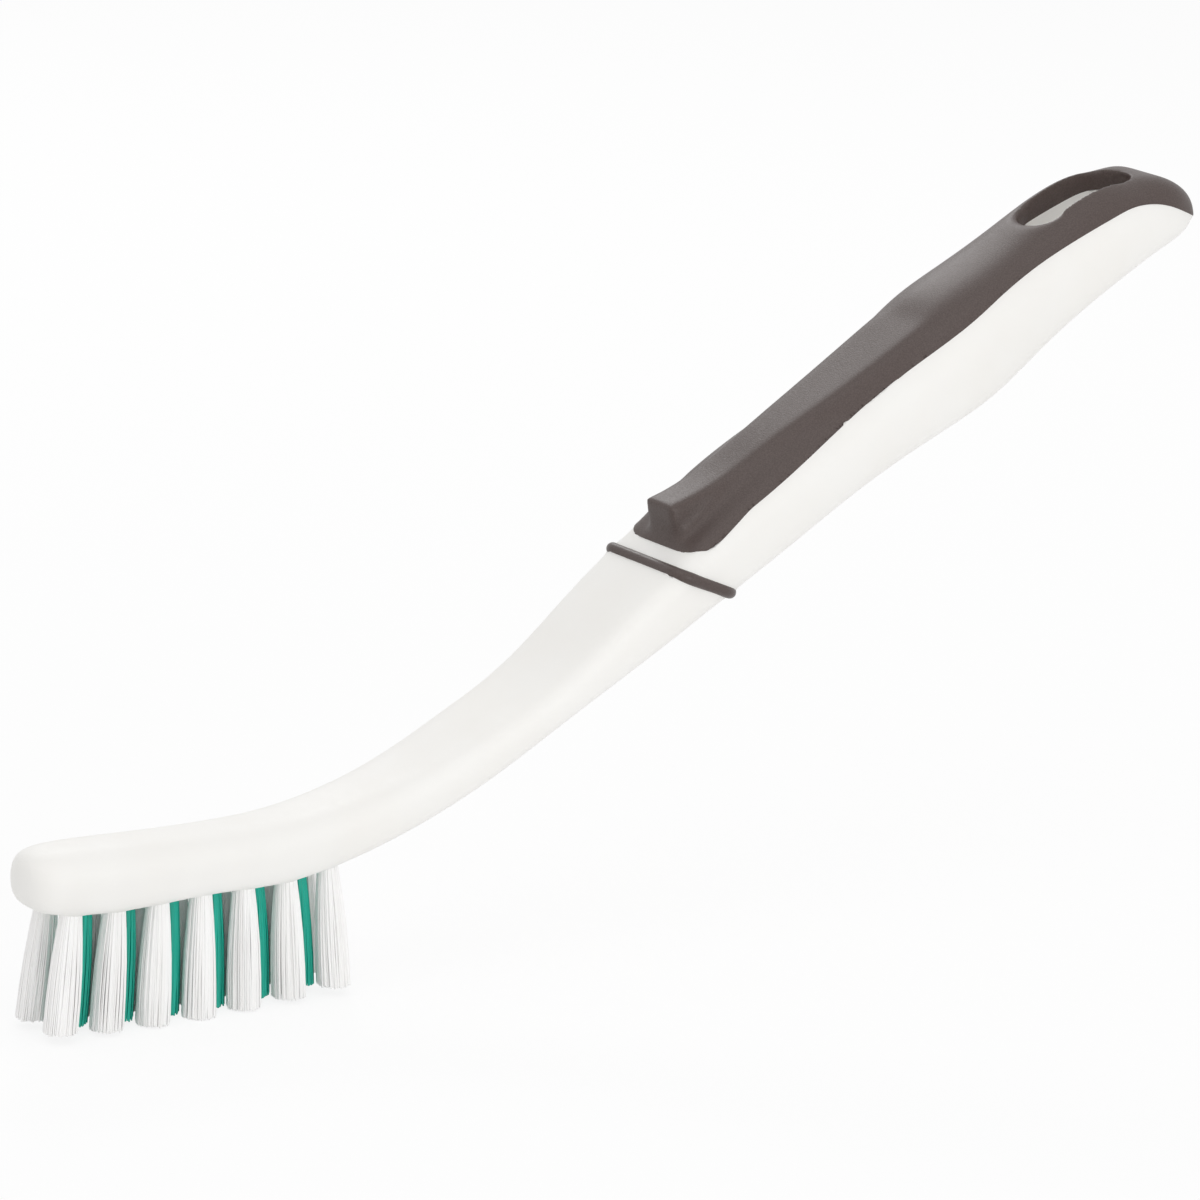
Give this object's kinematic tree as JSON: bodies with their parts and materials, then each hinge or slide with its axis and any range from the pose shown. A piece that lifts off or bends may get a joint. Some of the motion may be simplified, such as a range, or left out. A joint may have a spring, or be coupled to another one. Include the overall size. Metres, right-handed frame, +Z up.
{
  "type": "grout brush",
  "caption": "Hand grout brush: a white plastic handle bent up from a narrow head, with a soft dark grip, a neck ring, a hang hole and staggered rows of stapled bristle tufts.",
  "frame": {"origin": "on the plane of the middle bristle tips, under the middle of the bristle field and in the plane of symmetry", "axes": "+X runs from the nose of the head towards the butt of the handle, +Z points up from the bristle tips to the head, and the brush is symmetric across Y"},
  "size_m": [0.2143, 0.0228, 0.1137],
  "materials": {
    "handle_white": "satin moulded polypropylene",
    "grip_rubber": "matte thermoplastic rubber",
    "bristle_white": "white nylon filament",
    "bristle_green": "green nylon filament",
    "anchor_metal": "flat staple wire"
  },
  "bodies": {
    "root": {"handle_body": "handle_white", "grip": "grip_rubber", "neck_ring": "grip_rubber", "tuft_near_1": "bristle_white", "tuft_near_2": "bristle_white", "tuft_near_3": "bristle_white", "tuft_near_4": "bristle_white", "tuft_near_5": "bristle_white", "tuft_near_6": "bristle_white", "tuft_near_7": "bristle_white", "tuft_centre_1": "bristle_green", "tuft_centre_2": "bristle_green", "tuft_centre_3": "bristle_green", "tuft_centre_4": "bristle_green", "tuft_centre_5": "bristle_green", "tuft_centre_6": "bristle_green", "tuft_far_1": "bristle_white", "tuft_far_2": "bristle_white", "tuft_far_3": "bristle_white", "tuft_far_4": "bristle_white", "tuft_far_5": "bristle_white", "tuft_far_6": "bristle_white", "tuft_far_7": "bristle_white", "anchors_near": "anchor_metal", "anchors_centre": "anchor_metal", "anchors_far": "anchor_metal"}
  },
  "joints": []
}
